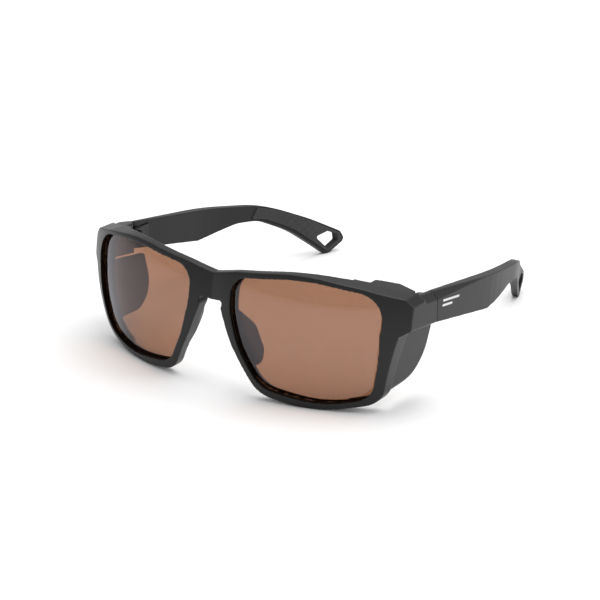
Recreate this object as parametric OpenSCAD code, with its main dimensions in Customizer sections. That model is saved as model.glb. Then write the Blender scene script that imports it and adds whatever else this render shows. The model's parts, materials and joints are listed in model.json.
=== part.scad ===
// Wraparound sport sunglasses with clip-on side shields, standing open on a table.
// Millimetres. X runs to the wearer's left, Y from the lenses to the temple tips, Z up.
// The origin is on the table under the middle of the whole part.

/* [Front] */
// Overall width of the front
front_w = 144.4; // [120:0.2:173]
// Height of the front from the rim bottom to the top of the brow
front_h = 50.8; // [42:0.2:61]
// Radius of the ball each half of the front is wrapped on
face_r = 80.5; // [70:0.1:97]
// Depth of the rim from front to back at half height
rim_depth = 5.2; // [4.4:0.1:6.5]
// Extra depth of the brow against the rim bottom, as a shift of the rear ball
brow_shift = 3.4; // [2:0.1:5]
// Length of the end piece from the front corner to the hinge joint
arm_len = 17.7; // [14.7:0.1:21.3]
// Width of the flat cut along the top outer edge
bevel_x = 2.4; // [1.2:0.1:3]
// Height of the flat cut along the top outer edge
bevel_z = 2.7; // [1.5:0.1:3.4]
// Width of the flat cut along the bottom outer edge of the end piece
low_bevel_x = 3.3; // [1.5:0.1:3.6]
// Height of the flat cut along the bottom outer edge of the end piece
low_bevel_z = 2.1; // [1:0.1:2.6]

/* [Lens] */
// Lens thickness
lens_t = 1.8; // [1.4:0.1:2.2]
// Distance the lens face lies behind the front of the rim
lens_set = 1.6; // [0.8:0.1:1.8]
// Width of the lens edge held in the rim groove
lens_hold = 0.8; // [0.6:0.05:1.1]

/* [Temples] */
// Length of a temple from the joint to its tip
temple_len = 124.8; // [104:0.2:150]
// Height of a temple at the joint
temple_h = 11.1; // [9.2:0.1:13.4]
// Thickness of a temple
temple_t = 4.2; // [3.5:0.1:5]
// How far the temple tips bend inwards
ear_bend = 25; // [21:0.2:30]
// How much thinner a temple is at the ear than at the hinge
ear_slim = 1.2; // [0.6:0.1:1.5]
// Thickness of the soft grip let into the ear part
grip_t = 1.6; // [1.2:0.1:2]
// Height the grip stands proud of the temple
grip_proud = 0.35; // [0.2:0.05:0.6]

/* [Hinge] */
// Radius of the hinge knuckles
knuckle_r = 1.9; // [1.7:0.05:2.2]
// Height of the whole hinge
hinge_h = 7.2; // [6:0.1:8]
// Radius of the screw shank
screw_r = 0.7; // [0.6:0.05:0.9]
// Radius of the screw head
screw_head_r = 1.3; // [1.1:0.05:1.4]
// Thickness of a washer
washer_t = 0.4; // [0.3:0.05:0.6]
// Thickness of a hinge leaf plate
leaf_t = 1.2; // [1:0.1:1.5]
// Length of a hinge leaf plate
leaf_len = 8; // [7:0.1:10]

/* [Nose pads] */
// Height of a nose pad
pad_h = 23; // [19:0.5:27]
// Distance a pad reaches behind the rim
pad_reach = 7; // [6:0.5:8.5]
// Thickness of a pad in the middle
pad_t = 2.6; // [2.1:0.1:3.1]
// Angle between the pad and the straight-ahead direction
pad_splay = 24; // [20:1:29]

/* [Side shields] */
// Wall thickness of a side shield
shield_t = 1.5; // [1.2:0.1:1.8]
// How far the rear edge of a shield reaches past the hinge joint
shield_back = 4.1; // [2:0.1:4.6]
// Radius of the lower rear corner of a shield
shield_corner = 12.5; // [9:0.5:13.5]

/* [Hidden] */
$fn = 180;
// Gap left between pieces that sit against each other
fit = 0.05;
// Clearance of the front knuckle and the washers around the screw
run = 0.04;
// Gap between the end piece and the temple at the joint
joint_gap = 0.06;
// Largest step of an arc in degrees
arc_step = 3;
// Reach of cutting shapes past the material
past = 1;
// The outline points below are drawn at these sizes and stretched to the wanted ones
drawn_half = 71.8;
drawn_h = 50.8;
drawn_len = 124.8;
drawn_temple_h = 11.1;
drawn_bend = 25;
half_w = front_w / 2;
kx = half_w / drawn_half;
kz = front_h / drawn_h;
kr = min(kx, kz);
kl = temple_len / drawn_len;
kh = temple_h / drawn_temple_h;
kb = ear_bend / drawn_bend;
// Ball centre of the +X half and the rear ball
face_x = 17.3 * kx;
face_z = 26.7 * kz;
rear_r = face_r - rim_depth;
// End piece
corner_z = 43.8 * kz;
joint_z = 41.5 * kz;
low_corner_z = 30.5 * kz;
arm_low = joint_z - temple_h - low_bevel_z;
arm_mid = (corner_z + low_corner_z) / 2;
corner_y = face_y(half_w, arm_mid);
joint_y = corner_y + arm_len;
arm_in = half_w - temple_t;
arm_slope = atan((corner_z - joint_z) / arm_len);
low_slope = atan((low_corner_z - arm_low) / arm_len);
temple_side = [for (p = [
    [-5, 0, 0], [-5, -11.1, 0], [0, -11.1, 0], [43.0, -12.7, 1.2], [50, -11.2, 12],
    [66, -7.2, 22], [79, -6.7, 25], [95, -12.1, 50]
]) [p[0] * kl, p[1] * kh, p[2]]];
// The temples hang from the joint and rest on the round of their lower tip corner
tip_round = 3;
tip_low = [115.3 * kl, -23.9 * kh, tip_round];
temple_tip = [
    tip_low, [124.8 * kl, -17.0 * kh, 2.2], [121.6 * kl, -13.0 * kh, 2.6]
];
tip_o = round_centre(temple_side[len(temple_side) - 1], tip_low, temple_tip[1]);
temple_tilt = asin((joint_z - tip_round) / norm(tip_o)) - atan2(-tip_o[1], tip_o[0]);
temple_top = [for (p = [[104, -6.5, 120], [82, 0, 70], [50, 0.6, 200], [0, 0, 0]])
    [p[0] * kl, p[1] * kh, p[2]]];
temple_loop = concat(temple_side, temple_tip, temple_top);
hole_loop = [for (p = [
    [107.8, -15.2, 0.8], [115.4, -21.2, 0.8], [120.6, -17.2, 0.8], [119.6, -14.2, 0.8], [114.2, -12.7, 0.8]
]) [p[0] * kl, p[1] * kh, p[2]]];
grip_loop = [for (p = [
    [74.4, -6.0, 0.4], [81.0, -5.9, 20], [95.6, -10.7, 48], [115.4, -22.6, 2.2], [123.2, -16.9, 1.6],
    [120.6, -13.5, 1.8], [104, -7.1, 100], [87, -1.8, 60], [77.2, -0.6, 0.6]
]) [p[0] * kl, p[1] * kh, p[2]]];
// Hinge
pin_x = arm_in - 3.1;
pin_y = joint_y;
hinge_z = joint_z - temple_h / 2 - 0.2;
leaf_sunk = leaf_t / 2;
leaf_high = hinge_h - 1.4;
mid_knuckle = hinge_h * 0.36;
end_knuckle = (hinge_h - mid_knuckle) / 2 - washer_t - 2 * fit;
// Middle of the whole part from front to back
back_y = joint_y + max([for (p = rounded(temple_loop)) p[0] * cos(temple_tilt) + p[1] * sin(temple_tilt)]);
front_y = face_y(face_x, face_z);
mid_y = (front_y + back_y) / 2;

// Loops are lists of [across, up, corner radius] and run counter-clockwise.
opening = stretched([
    [63.8, 44.7, 10], [38.0, 49.6, 60], [9.2, 45.6, 7.5], [9.3, 33.5, 30], [13.0, 19.8, 40],
    [20.7, 5.4, 10], [43.5, 2.2, 45], [60.1, 6.2, 8.5], [62.9, 21.0, 40]
]);
outline = concat(
    stretched([
        [0, 45.1, 0], [0, 35.2, 0], [5.6, 35.9, 1.0], [4.7, 33.0, 1.2], [9.6, 20.5, 30],
        [19.1, 2.4, 10], [40.0, -1.16, 60], [62.9, 4.1, 9]
    ]),
    [
        [half_w - low_bevel_x, low_corner_z, 0], [half_w, low_corner_z + low_bevel_z, 0],
        [half_w, corner_z - bevel_z, 0], [half_w - bevel_x, corner_z, 0]
    ],
    stretched([[56.0, 47.9, 40], [37.0, 51.5, 60], [11.0, 47.9, 20]])
);
function stretched(loop) = [for (p = loop) [p[0] * kx, p[1] * kz, p[2] * kr]];
function flat(p) = [p[0], p[1]];
function unit(v) = v / norm(v);
function cross2(a, b) = a[0] * b[1] - a[1] * b[0];
function edge_out(a, b) = let (d = unit(flat(b) - flat(a))) [d[1], -d[0]];
function before(loop, i) = loop[(i + len(loop) - 1) % len(loop)];
function after(loop, i) = loop[(i + 1) % len(loop)];
// The same loop moved outwards by d
function grown(loop, d) = [for (i = [0:len(loop) - 1]) let (
    m = edge_out(before(loop, i), loop[i]),
    n = edge_out(loop[i], after(loop, i)),
    q = flat(loop[i]) + d * (m + n) / (1 + m * n),
    bend = sign(cross2(m, n))
) [q[0], q[1], loop[i][2] == 0 ? 0 : max(0.1, loop[i][2] + d * bend)]];
// Centre of the arc that rounds corner b
function round_centre(a, b, c) = let (
    u = unit(flat(a) - flat(b)),
    v = unit(flat(c) - flat(b))
) flat(b) + unit(u + v) * b[2] / sin(acos(u * v) / 2);
// Points of one rounded corner
function corner(a, b, c) = b[2] == 0 ? [flat(b)] : let (
    u = unit(flat(a) - flat(b)),
    v = unit(flat(c) - flat(b)),
    half = acos(u * v) / 2,
    o = round_centre(a, b, c),
    s = flat(b) + u * b[2] / tan(half) - o,
    e = flat(b) + v * b[2] / tan(half) - o,
    turn = atan2(cross2(s, e), s * e),
    first = atan2(s[1], s[0]),
    steps = max(1, ceil(abs(turn) / arc_step))
) [for (k = [0:steps]) o + b[2] * [cos(first + turn * k / steps), sin(first + turn * k / steps)]];
function rounded(loop) = [for (i = [0:len(loop) - 1])
    each corner(before(loop, i), loop[i], after(loop, i))];
// Front surface of the +X half
function face_y(x, z) = face_r - sqrt(pow(face_r, 2) - pow(x - face_x, 2) - pow(z - face_z, 2));
// Plan of a temple: distance of its outer face from the middle plane
// A slim of 1 stands for an inner face, which comes nearer to the outer one towards the ear
function plan(d, slim) = [
    [half_w - d, -5, 0], [half_w - d, 0, 0], [half_w - d - 1.1 * kb, 50 * kl, 130],
    [half_w - d - 6.8 * kb + slim * ear_slim * 0.4, 78.7 * kl, 70],
    [half_w - d - 19.4 * kb + slim * ear_slim, 107.5 * kl, 90],
    [half_w - d - drawn_bend * kb + slim * ear_slim, 125 * kl, 0]
];
function turned_back(loop) = [for (i = [len(loop) - 1:-1:0]) loop[i]];

module loop2(loop) polygon(rounded(loop));
module along_y(y0, y1) translate([0, y1, 0]) rotate([90, 0, 0]) linear_extrude(y1 - y0) children();
module along_x(x0, x1) translate([x0, 0, 0]) rotate([90, 0, 90]) linear_extrude(x1 - x0) children();
module on_side(s) mirror([s < 0 ? 1 : 0, 0, 0]) children();
module in_place() translate([0, -mid_y, 0]) children();
module front_ball(deeper) translate([face_x, face_r, face_z]) sphere(r = face_r - deeper);
module rear_ball(deeper) translate([face_x, face_r, face_z - brow_shift]) sphere(r = rear_r - deeper);
module temple_frame() translate([0, joint_y, joint_z]) rotate([-temple_tilt, 0, 0]) children();

// Front frame
module edge_bevel() polygon([
    [half_w - 2 * bevel_x, bevel_z], [half_w + bevel_x, -2 * bevel_z], [half_w + bevel_x, bevel_z]
]);
module end_piece() {
    end_y = joint_y - joint_gap / 2;
    inside = arm_len / 3;
    intersection() {
        difference() {
            along_x(arm_in, half_w) polygon([
                [corner_y - inside, low_corner_z + tan(low_slope) * inside],
                [end_y, low_corner_z - tan(low_slope) * (end_y - corner_y)],
                [end_y, corner_z - tan(arm_slope) * (end_y - corner_y)],
                [corner_y - inside, corner_z + tan(arm_slope) * inside]
            ]);
            translate([0, joint_y, joint_z]) rotate([-arm_slope, 0, 0]) along_y(-2 * arm_len, past)
                edge_bevel();
            translate([0, joint_y, arm_low]) rotate([-low_slope, 0, 0]) along_y(-2 * arm_len, past)
                polygon([
                    [half_w - 2 * low_bevel_x, -low_bevel_z], [half_w + low_bevel_x, -low_bevel_z],
                    [half_w + low_bevel_x, 2 * low_bevel_z]
                ]);
        }
        front_ball(0);
    }
}
// The top of the brow slopes down to the rear, most of all over the nose
slope_r = 110;
slope_y = 114.3;
slope_z = 50;
slope_fall = 0.62;
module brow_slope() {
    h = 12 * kz;
    translate([0, slope_y, slope_z * kz - h])
        cylinder(h = h + past * 4, r1 = slope_r - h * slope_fall, r2 = slope_r + past * 4 * slope_fall);
}
module half_front() {
    difference() {
        union() {
            intersection() {
                along_y(-past, joint_y) loop2(outline);
                difference() {
                    front_ball(0);
                    rear_ball(0);
                    brow_slope();
                }
            }
            end_piece();
        }
        along_y(-past, joint_y) loop2(opening);
        intersection() {
            along_y(-past, joint_y) loop2(grown(opening, lens_hold + fit));
            difference() {
                front_ball(lens_set - fit);
                front_ball(lens_set + lens_t + fit);
            }
        }
        pad_tongue(fit);
        front_plate(fit);
    }
}
module front_frame() {
    color([0.1, 0.1, 0.11]) in_place() union() {
        half_front();
        mirror([1, 0, 0]) half_front();
    }
}

// Lenses
module lens(s) {
    color([0.55, 0.36, 0.22, 0.6]) in_place() on_side(s) intersection() {
        along_y(-past, joint_y) loop2(grown(opening, lens_hold));
        difference() {
            front_ball(lens_set);
            front_ball(lens_set + lens_t);
        }
    }
}

// Nose pads
pad_x = 10.6 * kx;
pad_z = 21.5 * kz;
pad_slant = 23;
pad_dome = 45;
tongue_t = 1.1;
tongue_h = 7;
tongue_in = 3.6;
module pad_frame() {
    translate([pad_x, face_y(pad_x, pad_z) + rim_depth, pad_z]) rotate([0, -pad_slant, 0]) children();
}
module pad_tongue(gap) {
    pad_frame() translate([-tongue_t / 2 - gap, tongue_in - rim_depth - gap, -tongue_h / 2 - gap])
        cube([tongue_t + 2 * gap, rim_depth - tongue_in + 2, tongue_h + 2 * gap]);
}
module nose_pad(s) {
    color([0.3, 0.3, 0.31]) in_place() on_side(s) union() {
        intersection() {
            pad_frame() rotate([0, 0, -pad_splay]) intersection() {
                along_x(-pad_t / 2, pad_t / 2) loop2([
                    [-4, -pad_h / 2 + 1, 1], [pad_reach * 0.6, -pad_h / 2, 3],
                    [pad_reach, -pad_h * 0.3, 5], [pad_reach, pad_h * 0.12, 6],
                    [pad_reach * 0.4, pad_h * 0.42, 3], [0, pad_h / 2, 1], [-4, pad_h / 2 - 2, 1]
                ]);
                translate([pad_dome - pad_t / 2, pad_reach * 0.4, 0]) sphere(r = pad_dome);
            }
            rear_ball(fit);
        }
        pad_tongue(0);
    }
}

// Side shields
shield_in = 0.5;
shield_gap = 0.4;
// Room around the hinge leaf
leaf_room = 0.3;
shield_low = 7.3 * kz;
roof_x = 55 * kx;
roof_y = joint_y - 8.4;
flange_x = 50 * kx;
flange_t = 1.4;
function shield_top(y) = arm_low - shield_gap + tan(low_slope) * (joint_y - y);
module shield_band() difference() {
    loop2(grown(outline, -shield_in));
    loop2(grown(outline, -shield_in - shield_t));
}
module side_shield(s) {
    back = joint_y + shield_back;
    front = corner_y - arm_len;
    color([0.16, 0.16, 0.17]) in_place() on_side(s) difference() {
        shield_body(front, back);
        front_plate(leaf_room);
    }
}
module shield_body(front, back) {
    intersection() {
        rear_ball(fit);
        union() {
            // Side wall below the end piece
            intersection() {
                along_y(front, back + past) shield_band();
                along_x(arm_in / 2, half_w) loop2([
                    [front, shield_low, 0], [back, shield_low, shield_corner],
                    [back, shield_top(back), 1], [front, shield_top(front), 0]
                ]);
            }
            // Roof behind the outer end of the brow
            intersection() {
                along_y(front, joint_y) shield_band();
                translate([0, 0, arm_mid]) linear_extrude(front_h) polygon([
                    [roof_x, front], [arm_in - fit, front], [arm_in - fit, roof_y],
                    [arm_in - 6 * kx, roof_y - 0.8], [roof_x, roof_y - 6.5]
                ]);
            }
            // Flange that lies on the back of the rim
            difference() {
                intersection() {
                    along_y(front, joint_y) difference() {
                        loop2(grown(outline, -shield_in));
                        loop2(grown(opening, 0.2));
                    }
                    union() {
                        translate([flange_x, front, 0]) cube([arm_in - fit - flange_x, 3 * arm_len, 2 * front_h]);
                        along_x(flange_x, half_w) polygon([
                            [front, 0], [back, 0], [back, shield_top(back)], [front, shield_top(front)]
                        ]);
                    }
                }
                rear_ball(fit + flange_t);
            }
        }
    }
}

// Temples
// The flat cut rises a little so that it runs out before the ear
bevel_rise = 3.1;
module temple_body() {
    intersection() {
        temple_frame() difference() {
            intersection() {
                along_x(0, half_w + past) loop2(temple_loop);
                translate([0, 0, -3 * temple_h * kh]) linear_extrude(5 * temple_h * kh) polygon(
                    concat(rounded_open(plan(temple_t, 1)), turned_back(rounded_open(plan(0, 0))))
                );
            }
            rotate([bevel_rise, 0, 0]) along_y(-5 * past, temple_len) edge_bevel();
            along_x(0, half_w) loop2(hole_loop);
        }
        translate([0, joint_y + joint_gap / 2, -front_h]) cube([half_w + past, 2 * temple_len, 3 * front_h]);
    }
}
function rounded_open(path) = [for (i = [0:len(path) - 1])
    each (path[i][2] == 0 ? [flat(path[i])] : corner(path[i - 1], path[i], path[i + 1]))];
module grip_body(gap) {
    temple_frame() intersection() {
        along_x(0, half_w) difference() {
            loop2(grown(grip_loop, gap));
            loop2(hole_loop);
        }
        translate([0, 0, -3 * temple_h * kh]) linear_extrude(5 * temple_h * kh) polygon(concat(
            rounded_open(plan(temple_t + grip_proud, 1)),
            turned_back(rounded_open(plan(temple_t + grip_proud - grip_t - gap, 1)))
        ));
    }
}
module temple(s) {
    color([0.1, 0.1, 0.11]) in_place() on_side(s) difference() {
        temple_body();
        grip_body(fit);
        temple_plate(fit);
    }
}
module temple_grip(s) {
    color([0.2, 0.2, 0.21]) in_place() on_side(s) grip_body(0);
}

// Hinges
module upright(r, h, z) translate([pin_x, pin_y, z - h / 2]) cylinder(r = r, h = h);
module front_plate(gap) {
    translate([arm_in - leaf_t + leaf_sunk - gap, joint_y - 1.1 - leaf_len - gap, hinge_z - leaf_high / 2 - gap])
        cube([leaf_t + 2 * gap, leaf_len + 2 * gap, leaf_high + 2 * gap]);
}
module temple_plate(gap) {
    translate([arm_in - leaf_t + leaf_sunk - gap, joint_y + 1.1 - gap, hinge_z - leaf_high / 2 - gap])
        cube([leaf_t + 2 * gap, leaf_len + 2 * gap, leaf_high + 2 * gap]);
}
// Web from a knuckle to its plate, on the front side (-1) or the temple side (1)
module web(way, h, z) {
    long = 1.1 + leaf_t;
    translate([pin_x, way < 0 ? pin_y - long : pin_y + 0.1, z - h / 2])
        cube([arm_in - leaf_sunk - pin_x + leaf_t / 4, long - 0.1, h]);
}
module hinge_front_leaf(s) {
    color([0.62, 0.62, 0.64]) in_place() on_side(s) difference() {
        union() {
            front_plate(0);
            web(-1, mid_knuckle, hinge_z);
            upright(knuckle_r, mid_knuckle, hinge_z);
        }
        upright(screw_r + run, hinge_h + past, hinge_z);
    }
}
end_z = (mid_knuckle + end_knuckle) / 2 + washer_t + 2 * fit;
head_h = 0.7;
module hinge_temple_leaf(s) {
    color([0.62, 0.62, 0.64]) in_place() on_side(s) difference() {
        union() {
            temple_plate(0);
            for (way = [-1, 1]) {
                web(1, end_knuckle, hinge_z + way * end_z);
                upright(knuckle_r, end_knuckle, hinge_z + way * end_z);
            }
        }
        upright(screw_r + run / 2, 2 * hinge_h, hinge_z);
        upright(screw_head_r + run, head_h * 2, hinge_z + end_z + end_knuckle / 2);
    }
}
module hinge_screw(s) {
    top = end_z + end_knuckle / 2;
    color([0.75, 0.75, 0.76]) in_place() on_side(s) difference() {
        union() {
            upright(screw_r, 2 * top - 0.2, hinge_z);
            translate([0, 0, -head_h / 2]) upright(screw_head_r, head_h - 0.1, hinge_z + top);
        }
        translate([pin_x - screw_head_r * 1.5, pin_y - 0.15, hinge_z + top - 0.35])
            cube([screw_head_r * 3, 0.3, 1]);
    }
}
module hinge_washers(s) {
    color([0.85, 0.85, 0.83]) in_place() on_side(s) for (way = [-1, 1]) difference() {
        upright(knuckle_r - 0.1, washer_t, hinge_z + way * (mid_knuckle / 2 + fit + washer_t / 2));
        upright(screw_r + run, hinge_h, hinge_z);
    }
}

front_frame();
lens(1);  // lens_left
lens(-1);  // lens_right
nose_pad(1);  // nose_pad_left
nose_pad(-1);  // nose_pad_right
side_shield(1);  // side_shield_left
side_shield(-1);  // side_shield_right
hinge_front_leaf(1);  // hinge_front_leaf_left
hinge_front_leaf(-1);  // hinge_front_leaf_right
hinge_temple_leaf(1);  // hinge_temple_leaf_left
hinge_temple_leaf(-1);  // hinge_temple_leaf_right
hinge_screw(1);  // hinge_screw_left
hinge_screw(-1);  // hinge_screw_right
hinge_washers(1);  // hinge_washers_left
hinge_washers(-1);  // hinge_washers_right
temple(1);  // temple_left
temple(-1);  // temple_right
temple_grip(1);  // temple_grip_left
temple_grip(-1);  // temple_grip_right
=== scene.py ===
import bpy
import json
import math
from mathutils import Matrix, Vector


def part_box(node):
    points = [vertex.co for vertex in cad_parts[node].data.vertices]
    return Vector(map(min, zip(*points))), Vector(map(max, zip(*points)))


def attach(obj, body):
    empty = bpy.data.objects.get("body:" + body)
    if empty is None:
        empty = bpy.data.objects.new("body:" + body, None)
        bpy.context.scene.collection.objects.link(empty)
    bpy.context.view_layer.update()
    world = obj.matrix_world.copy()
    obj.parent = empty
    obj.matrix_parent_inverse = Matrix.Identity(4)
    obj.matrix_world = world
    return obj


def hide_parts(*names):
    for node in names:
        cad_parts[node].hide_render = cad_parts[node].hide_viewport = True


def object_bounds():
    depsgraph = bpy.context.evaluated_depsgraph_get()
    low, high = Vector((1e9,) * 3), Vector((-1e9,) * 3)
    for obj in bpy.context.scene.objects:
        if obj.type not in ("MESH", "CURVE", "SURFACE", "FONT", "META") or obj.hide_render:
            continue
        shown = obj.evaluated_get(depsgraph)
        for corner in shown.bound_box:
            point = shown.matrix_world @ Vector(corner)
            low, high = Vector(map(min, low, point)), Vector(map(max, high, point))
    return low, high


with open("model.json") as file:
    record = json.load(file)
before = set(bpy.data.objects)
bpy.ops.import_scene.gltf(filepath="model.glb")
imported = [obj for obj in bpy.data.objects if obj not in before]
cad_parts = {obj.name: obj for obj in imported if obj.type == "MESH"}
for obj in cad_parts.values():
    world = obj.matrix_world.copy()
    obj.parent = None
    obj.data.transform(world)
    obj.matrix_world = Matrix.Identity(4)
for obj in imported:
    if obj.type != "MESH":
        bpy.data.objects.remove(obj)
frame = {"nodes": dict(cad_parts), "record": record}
cadLow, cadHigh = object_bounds()
mm = 0.001

# Lengths are in metres, angles in degrees where a note says so.
view = {
    "place": (0.3235, -0.4936, 0.2397),
    "turn": (68.735, 0, 34.376),  # degrees
    "lens": 93.81,
    "sensor": 36,
    "floorSize": 8,
    "floorTone": 0.93,
    "skyTone": 0.62,
    "lamps": {
        "topLight": {"place": (0.1, 0.35, 1.6), "aim": (0, 0, 0), "size": 1.8, "power": 26},
        "sideLight": {"place": (1.3, 0.5, 0.7), "aim": (0, 0, 0.02), "size": 0.9, "power": 6},
    },
}


def deselectAll():
    if bpy.context.object and bpy.context.object.mode != "OBJECT":
        bpy.ops.object.mode_set(mode="OBJECT")
    bpy.ops.object.select_all(action="DESELECT")


def pick(piece):
    deselectAll()
    piece.select_set(True)
    bpy.context.view_layer.objects.active = piece


def softLight(name, place, aim, size, power):
    deselectAll()
    bpy.ops.object.light_add(type="AREA", location=place)
    lamp = bpy.context.object
    lamp.name = name
    lamp.data.size = size
    lamp.data.energy = power
    lamp.rotation_euler = (Vector(aim) - Vector(place)).to_track_quat("-Z", "Y").to_euler()


class Wire:  # one value in a material, so that sums can be written plainly
    def __init__(self, finish, socket):
        self.finish, self.socket = finish, socket

    def calc(self, operation, first, second=0.0):
        return self.finish.add("ShaderNodeMath", {"operation": operation}, {0: first, 1: second})

    def __add__(self, other): return self.calc("ADD", self, other)
    def __radd__(self, other): return self.calc("ADD", other, self)
    def __sub__(self, other): return self.calc("SUBTRACT", self, other)
    def __rsub__(self, other): return self.calc("SUBTRACT", other, self)
    def __mul__(self, other): return self.calc("MULTIPLY", self, other)
    def __rmul__(self, other): return self.calc("MULTIPLY", other, self)
    def __truediv__(self, other): return self.calc("DIVIDE", self, other)
    def __pow__(self, other): return self.calc("POWER", self, other)
    def __abs__(self): return self.calc("ABSOLUTE", self)
    def above(self, edge): return self.calc("GREATER_THAN", self, edge)
    def atLeast(self, low): return self.calc("MAXIMUM", self, low)
    def atMost(self, high): return self.calc("MINIMUM", self, high)
    def root(self): return self.calc("SQRT", self)
    def clip(self): return self.atLeast(0.0).atMost(1.0)


class Finish:  # one material and the nodes in it
    def __init__(self, name, slot):
        self.material = bpy.data.materials.new(name)
        self.material.use_nodes = True
        self.tree = self.material.node_tree
        self.tree.nodes.clear()
        self.slot = slot
        self.place = self.add("ShaderNodeTexCoord", out="Object")

    def add(self, kind, settings=None, sockets=None, out=0):
        node = self.tree.nodes.new(kind)
        for name, value in (settings or {}).items():
            if name == "stops":
                ramp = node.color_ramp
                for spot, tone in value[:1] + value[-1:]:
                    edge = ramp.elements[0 if (spot, tone) == value[0] else 1]
                    edge.position, edge.color = spot, tone
                for spot, tone in value[1:-1]:
                    ramp.elements.new(spot).color = tone
            else:
                setattr(node, name, value)
        for name, value in (sockets or {}).items():
            if isinstance(value, Wire):
                self.tree.links.new(value.socket, node.inputs[name])
            else:
                node.inputs[name].default_value = value
        return Wire(self, node.outputs[out])

    def noise(self, scale, detail=2.0, rough=0.5, place=None):
        return self.add("ShaderNodeTexNoise", {}, {"Vector": place or self.place, "Scale": scale,
                        "Detail": detail, "Roughness": rough}, "Fac")

    def blend(self, mask, first, second):
        return self.add("ShaderNodeMix", {"data_type": "RGBA"}, {"Factor": mask, 6: first, 7: second}, 2)

    def bump(self, height, strength, depth):
        return self.add("ShaderNodeBump", {}, {"Height": height, "Strength": strength, "Distance": depth})

    def shell(self, **sockets):
        named = {name.replace("_", " "): value for name, value in sockets.items()}
        return self.add("ShaderNodeBsdfPrincipled", {}, named)

    def close(self, shader):
        end = self.tree.nodes.new("ShaderNodeOutputMaterial")
        self.tree.links.new(shader.socket, end.inputs["Surface"])
        return self


def grey(tone, warm=0.0):
    return (tone * (1 + warm), tone, tone * (1 - warm * 0.5), 1.0)


bpy.context.scene.view_settings.view_transform = "Standard"
deselectAll()
bpy.ops.object.camera_add(location=view["place"], rotation=[math.radians(a) for a in view["turn"]])
camera = bpy.context.object
camera.data.lens = view["lens"]
camera.data.sensor_width = view["sensor"]
bpy.context.scene.camera = camera

deselectAll()
bpy.ops.mesh.primitive_plane_add(size=view["floorSize"], location=(0, 0, cadLow.z))
floor = bpy.context.object
floor.name = "floor"
paper = Finish("paleFloor", "")
paper.close(paper.shell(Base_Color=grey(view["floorTone"]), Roughness=0.9, Specular_IOR_Level=0.1))
floor.data.materials.append(paper.material)

sky = bpy.data.worlds.new("softSky")
sky.use_nodes = True
sky.node_tree.nodes["Background"].inputs["Color"].default_value = (1, 1, 1, 1)
sky.node_tree.nodes["Background"].inputs["Strength"].default_value = view["skyTone"]
bpy.context.scene.world = sky
for name, plan in view["lamps"].items():
    softLight(name, **plan)
print("view, floor and light are set")

hinge = {joint["name"]: Vector(joint["pos_m"]) for joint in frame["record"]["behaviour"]["joints"]}
pivot = hinge["temple_fold_left"]

printedMark = {  # two plain bars on the outer face of each temple
    "tilt": 9.217,  # degrees that the temple slopes down
    "start": (pivot.y, 41.5 * mm),  # top of the temple at the joint
    "bars": [(11.2 * mm, -3.7 * mm, 5.9 * mm), (8.6 * mm, -5.5 * mm, 3.4 * mm)],  # along, up, half length
    "thick": 0.42 * mm,  # half the width of a bar
    "blur": 0.05 * mm,
    "faceX": 70.2 * mm,  # only the outer face lies further out than this
    "white": 0.78,
}


plasticPlan = {
    "fine": (3400, 3, 0.6),  # scale, detail and roughness of each noise
    "cloud": (160, 4, 0.55),
    "rub": (38, 3, 0.5),
    "edgeStart": 0.505,  # pointiness at which the painted highlight on the edges begins
    "edgeGain": 9.0,
    "dark": 0.72,  # tones as shares of the plain one
    "pale": 1.32,
    "paintedEdgeHighlight": 2.4,
}


def mouldedBlack(name, slot, tone, rough, grain, gloss, mark=None):
    finish = Finish(name, slot)
    fine = finish.noise(*plasticPlan["fine"])
    cloud = finish.noise(*plasticPlan["cloud"])
    rub = finish.noise(*plasticPlan["rub"])
    edge = finish.add("ShaderNodeNewGeometry", {}, {}, "Pointiness")
    # painted highlight: the sharper edges are made paler in place of the glints they catch; the same mask also
    # lowers the roughness there
    paintedEdgeHighlight = ((edge - plasticPlan["edgeStart"]) * plasticPlan["edgeGain"]).clip() * (0.35 + cloud * 0.5)
    lift = (fine - 0.5) * 0.5 + (cloud - 0.5) * 0.35 + 0.5
    color = finish.blend(lift.clip(), grey(tone * plasticPlan["dark"]), grey(tone * plasticPlan["pale"], 0.02))
    # the painted edge highlight is blended in here
    color = finish.blend(paintedEdgeHighlight * 0.5, color, grey(tone * plasticPlan["paintedEdgeHighlight"]))
    shine = rough + (rub - 0.5) * 0.14 + (fine - 0.5) * 0.10 - paintedEdgeHighlight * 0.10
    if mark:
        frameOfTemple = finish.add("ShaderNodeMapping", {"vector_type": "TEXTURE"}, {
            "Vector": finish.place, "Location": (0, mark["start"][0], mark["start"][1]),
            "Rotation": (-math.radians(mark["tilt"]), 0, 0)})
        parts = finish.add("ShaderNodeSeparateXYZ", {}, {0: frameOfTemple}, "X")
        along = Wire(finish, parts.socket.node.outputs["Y"])
        up = Wire(finish, parts.socket.node.outputs["Z"])
        ink = None
        for middle, height, half in mark["bars"]:
            past = (abs(along - middle) - half).atLeast(0.0)
            lower = up - height
            away = (past * past + lower * lower).root()
            bar = ((mark["thick"] - away) / mark["blur"] + 0.5).clip()
            ink = bar if ink is None else ink + bar
        ink = ink * abs(parts).above(mark["faceX"]) * (0.86 + (cloud - 0.5) * 0.5).clip()
        color = finish.blend(ink, color, grey(mark["white"]))
        shine = shine - ink * 0.08
    bumpy = finish.bump(fine + cloud * 0.6, 0.35, grain)
    return finish.close(finish.shell(Base_Color=color, Roughness=shine, Normal=bumpy,
                                     Specular_IOR_Level=gloss, IOR=1.5))


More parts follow.
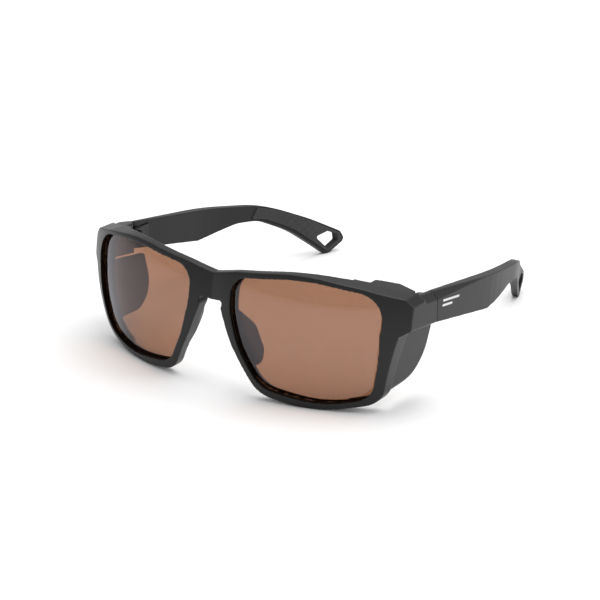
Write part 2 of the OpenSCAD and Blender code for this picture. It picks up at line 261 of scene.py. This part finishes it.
def shadedRimWall():  # painted shade: a darker, duller copy of the black for the walls around the lenses, which hardly catch the light
    finish = Finish("rimWallPaintedShade", "frame")
    cloud = finish.noise(220, 3)
    scratch = finish.noise(1500, 2, 0.5)
    color = finish.blend(cloud, grey(0.0015), grey(0.003))
    return finish.close(finish.shell(Base_Color=color, Roughness=0.4 + (cloud - 0.5) * 0.12,
                                     Normal=finish.bump(scratch, 0.1, 0.02 * mm), Specular_IOR_Level=0.06))


copperTint = {
    "through": (0.545, 0.372, 0.27, 1.0),  # once through one face of the lens
    "mirror": (0.95, 0.93, 1.0, 1.0),
    "thicker": 0.96,  # share of the light that the denser parts let through
    "mirrorShare": 0.058,
    "grazingShare": 0.75,
    "grazingPower": 5.0,
}


def copperLens():
    finish = Finish("copperLens", "lens")
    cloud = finish.noise(26, 2, 0.4)
    smear = finish.noise(90, 3, 0.6, finish.add("ShaderNodeMapping", {}, {
        "Vector": finish.place, "Scale": (1, 1, 0.35), "Rotation": (0, 0.5, 0)}))
    denser = tuple(part * copperTint["thicker"] for part in copperTint["through"][:3]) + (1.0,)
    tint = finish.add("ShaderNodeBsdfTransparent", {}, {"Color": copperTint["through"]})
    denserTint = finish.add("ShaderNodeBsdfTransparent", {}, {"Color": denser})
    clear = finish.add("ShaderNodeMixShader", {}, {0: cloud, 1: tint, 2: denserTint})
    film = finish.shell(Base_Color=copperTint["mirror"], Metallic=1.0, Roughness=0.05 + (smear - 0.5) * 0.05)
    slant = finish.add("ShaderNodeLayerWeight", {}, {"Blend": 0.5}, "Facing")  # the same from both sides
    grazing = (slant ** copperTint["grazingPower"]) * copperTint["grazingShare"]
    share = copperTint["mirrorShare"] + grazing + (smear - 0.5) * 0.006
    return finish.close(finish.add("ShaderNodeMixShader", {}, {0: share.clip(), 1: clear, 2: film}))


def softRubber(name, slot, tone, rough, grain):
    finish = Finish(name, slot)
    fine = finish.noise(2600, 3, 0.6)
    cloud = finish.noise(120, 3, 0.5)
    edge = finish.add("ShaderNodeNewGeometry", {}, {}, "Pointiness")
    # painted highlight and painted shade: paler on sharp crests and darker in the hollows, mixed with a random
    # cloudy tone
    crest = ((edge - 0.5) * 10.0 + 0.5).clip()
    color = finish.blend((cloud * 0.4 + crest * 0.6).clip(), grey(tone * 0.7), grey(tone * 1.35))
    return finish.close(finish.shell(Base_Color=color, Roughness=rough + (fine - 0.5) * 0.15,
                                     Normal=finish.bump(fine, 0.4, grain), Specular_IOR_Level=0.32))


def brushedSteel(name, slot, tone, rough):
    finish = Finish(name, slot)
    lines = finish.noise(900, 3, 0.6, finish.add("ShaderNodeMapping", {}, {
        "Vector": finish.place, "Scale": (1, 1, 9)}))
    cloud = finish.noise(300, 3)
    color = finish.blend(lines * 0.6 + cloud * 0.4, grey(tone * 0.82), grey(tone * 1.08, 0.01))
    return finish.close(finish.shell(Base_Color=color, Metallic=1.0, Roughness=rough + (lines - 0.5) * 0.2,
                                     Normal=finish.bump(lines, 0.15, 0.02 * mm)))


def darkNylon():
    finish = Finish("nylonWasher", "washer")
    cloud = finish.noise(700, 3)
    color = finish.blend(cloud, grey(0.03), grey(0.05, 0.02))
    return finish.close(finish.shell(Base_Color=color, Roughness=0.5 + (cloud - 0.5) * 0.2,
                                     Normal=finish.bump(cloud, 0.2, 0.02 * mm)))


frameBlack = mouldedBlack("frameBlack", "frame", 0.0095, 0.36, 0.04 * mm, gloss=0.27)
templeBlack = mouldedBlack("templeBlack", "frame", 0.0085, 0.42, 0.05 * mm, gloss=0.25, mark=printedMark)
shieldBlack = mouldedBlack("shieldBlack", "shield", 0.016, 0.44, 0.04 * mm, gloss=0.26)
rimWallShadeFinish = shadedRimWall()
lensTint = copperLens()
padRubber = softRubber("padRubber", "pad", 0.02, 0.55, 0.04 * mm)
gripRubber = softRubber("gripRubber", "grip", 0.028, 0.62, 0.05 * mm)
hingeSteel = brushedSteel("hingeSteel", "hinge", 0.045, 0.4)
screwSteel = brushedSteel("screwSteel", "screw", 0.09, 0.32)
washerNylon = darkNylon()
print("materials are mixed")

mergeDistance = 0.002 * mm


def copyOf(node, name):  # a merged copy of a CAD solid, at the origin as it is
    source = frame["nodes"][node]
    piece = bpy.data.objects.new(name, source.data.copy())
    bpy.context.scene.collection.objects.link(piece)
    piece.data.materials.clear()
    pick(piece)
    bpy.ops.object.mode_set(mode="EDIT")
    bpy.ops.mesh.select_all(action="SELECT")
    bpy.ops.mesh.remove_doubles(threshold=mergeDistance)
    bpy.ops.object.mode_set(mode="OBJECT")
    return piece


def shaped(piece, kind, **settings):  # one modifier, applied
    pick(piece)
    modifier = piece.modifiers.new(kind.lower(), kind)
    for name, value in settings.items():
        setattr(modifier, name, value)
    bpy.ops.object.modifier_apply(modifier=modifier.name)
    return piece


def moulded(piece, plan):  # turns a hard-edged solid into a moulded one with soft edges
    shaped(piece, "REMESH", mode="VOXEL", voxel_size=plan["grain"] * mm, adaptivity=0.0)
    soft = piece.vertex_groups.new(name="soft")
    away = [point.index for point in piece.data.vertices
            if abs(point.co.y - pivot.y) > plan.get("crisp", 0.0) * mm]
    soft.add(away, 1.0, "REPLACE")
    shaped(piece, "SMOOTH", factor=0.5, iterations=plan["soften"], vertex_group="soft")
    piece.vertex_groups.clear()
    pick(piece)
    bpy.ops.object.shade_smooth()
    return piece


def finished(piece, body, finish, *nodes):
    if not piece.data.materials:
        piece.data.materials.append(finish.material)
    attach(piece, body)
    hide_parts(*nodes)
    print(piece.name, len(piece.data.polygons), "faces")
    return piece


# In the plans below, grain is the size of a voxel in mm, soften is how often the mesh is smoothed,
# and crisp is the distance in mm from the joint within which it isn't.
sides = {"left": 1, "right": -1}
arms = {"left": "temple_arm_left", "right": "temple_arm_right"}

frontPlan = {
    "grain": 0.33,
    "soften": 4,
    "crisp": 0.6,
    "lensMiddle": (37.0 * mm, 25.5 * mm),
    "wallReach": 65.4 * mm,
    "wallFacing": 0.62,  # cosine to the way towards the middle of the lens
}


def makeFront():
    piece = moulded(copyOf("front_frame", "frontShell"), frontPlan)
    piece.data.materials.append(frameBlack.material)
    piece.data.materials.append(rimWallShadeFinish.material)
    for face in piece.data.polygons:  # the walls that face the lens get the darker copy of the black: painted shade
        side = 1 if face.center.x > 0 else -1
        inward = Vector((side * frontPlan["lensMiddle"][0] - face.center.x, 0,
                         frontPlan["lensMiddle"][1] - face.center.z)).normalized()
        if face.normal.dot(inward) > frontPlan["wallFacing"] and abs(face.center.x) < frontPlan["wallReach"]:
            face.material_index = 1
    return finished(piece, "front", frameBlack, "front_frame")


lensPlan = {
    "ballX": 17.4 * mm,  # middle of the ball that both faces of the lens lie on
    "ballZ": 26.7 * mm,
    "radii": {"front": 78.9 * mm, "back": 77.1 * mm},
    "reach": 0.45 * mm,  # how near a point lies to a face that it is drawn onto
    "crease": 50,  # degrees
    "grain": 0.55,
}


def makeLens(side):
    piece = copyOf("lens_" + side, "lens" + side.capitalize())
    shaped(piece, "REMESH", mode="VOXEL", voxel_size=lensPlan["grain"] * mm, adaptivity=0.0)
    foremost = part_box("lens_" + side)[0].y
    middle = Vector((lensPlan["ballX"] * sides[side], foremost + lensPlan["radii"]["front"], lensPlan["ballZ"]))
    deselectAll()
    bpy.ops.object.empty_add(location=middle)
    ball = bpy.context.object
    for name, radius in lensPlan["radii"].items():
        group = piece.vertex_groups.new(name=name)
        near = [point.index for point in piece.data.vertices
                if abs((point.co - middle).length - radius) < lensPlan["reach"]]
        group.add(near, 1.0, "REPLACE")
        shaped(piece, "CAST", cast_type="SPHERE", object=ball, factor=1.0, size=radius,
               use_radius_as_size=False, vertex_group=name)
    bpy.data.objects.remove(ball)
    piece.vertex_groups.clear()
    pick(piece)
    bpy.ops.object.shade_smooth_by_angle(angle=math.radians(lensPlan["crease"]))
    return finished(piece, "front", lensTint, "lens_" + side)


padPlan = {"grain": 0.2, "soften": 5}


def makePad(side):
    piece = moulded(copyOf("nose_pad_" + side, "nosePad" + side.capitalize()), padPlan)
    return finished(piece, "front", padRubber, "nose_pad_" + side)


shieldPlan = {"grain": 0.22, "soften": 3}


def makeShield(side):
    piece = moulded(copyOf("side_shield_" + side, "sideShield" + side.capitalize()), shieldPlan)
    return finished(piece, "front", shieldBlack, "side_shield_" + side)


templePlan = {"grain": 0.22, "soften": 4, "crisp": 0.5}


def makeTemple(side):
    piece = moulded(copyOf("temple_" + side, "temple" + side.capitalize()), templePlan)
    return finished(piece, arms[side], templeBlack, "temple_" + side)


gripPlan = {
    "grain": 0.15,
    "soften": 2,
    "pitch": 4.4 * mm,  # between ridges, along the temple
    "height": 0.34 * mm,
    "slant": 1.15,  # how far a ridge leans for each step up
    "ripple": 0.42 * mm,
    "rippleLength": 1.9 * mm,
    "firstRidge": 84 * mm,
    "lastRidge": 108 * mm,
    "fadeIn": 9 * mm,
    "fadeOut": 2 * mm,
    "facing": 0.6,  # cosine to the way towards the head where the ridges begin
    "crest": 0.8,  # below 1 the ridges are broad and the grooves narrow
}


def makeGrip(side):
    piece = moulded(copyOf("temple_grip_" + side, "grip" + side.capitalize()), gripPlan)
    tilt = math.radians(printedMark["tilt"])
    outward = sides[side]
    facings = [-point.normal.x * outward for point in piece.data.vertices]
    for point, inward in zip(piece.data.vertices, facings):  # slanted wavy ridges on the face by the head
        away, rise = point.co.y - printedMark["start"][0], point.co.z - printedMark["start"][1]
        along = away * math.cos(tilt) - rise * math.sin(tilt)
        up = away * math.sin(tilt) + rise * math.cos(tilt)
        facing = max(0.0, (inward - gripPlan["facing"]) / (1 - gripPlan["facing"]))
        fade = min(1.0, max(0.0, (along - gripPlan["firstRidge"]) / gripPlan["fadeIn"]))
        fade *= min(1.0, max(0.0, (gripPlan["lastRidge"] - along) / gripPlan["fadeOut"]))
        wavy = gripPlan["ripple"] * math.sin(2 * math.pi * up / gripPlan["rippleLength"])
        turn = 2 * math.pi * (along - gripPlan["slant"] * up + wavy) / gripPlan["pitch"]
        lift = gripPlan["height"] * facing * fade * (0.5 + 0.5 * math.sin(turn)) ** gripPlan["crest"]
        point.co.x -= outward * lift
    return finished(piece, arms[side], gripRubber, "temple_grip_" + side)


makeFront()
for side in sides:
    makeLens(side)
    makePad(side)
    makeShield(side)
    makeTemple(side)
    makeGrip(side)
print("moulded pieces are made")

hardwarePlan = {"edge": 0.09 * mm, "segments": 2, "sharp": 40}  # sharp in degrees
hardwareFinish = {"hinge_front_leaf": hingeSteel, "hinge_temple_leaf": hingeSteel,
                  "hinge_screw": screwSteel, "hinge_washers": washerNylon}
for name, node in frame["nodes"].items():
    for start, finish in hardwareFinish.items():
        if name.startswith(start):
            node.data.materials.clear()
            node.data.materials.append(finish.material)
            bevel = node.modifiers.new("softEdge", "BEVEL")
            bevel.width = hardwarePlan["edge"]
            bevel.segments = hardwarePlan["segments"]
            bevel.limit_method = "ANGLE"
            bevel.angle_limit = math.radians(hardwarePlan["sharp"])
print("hinges are finished")
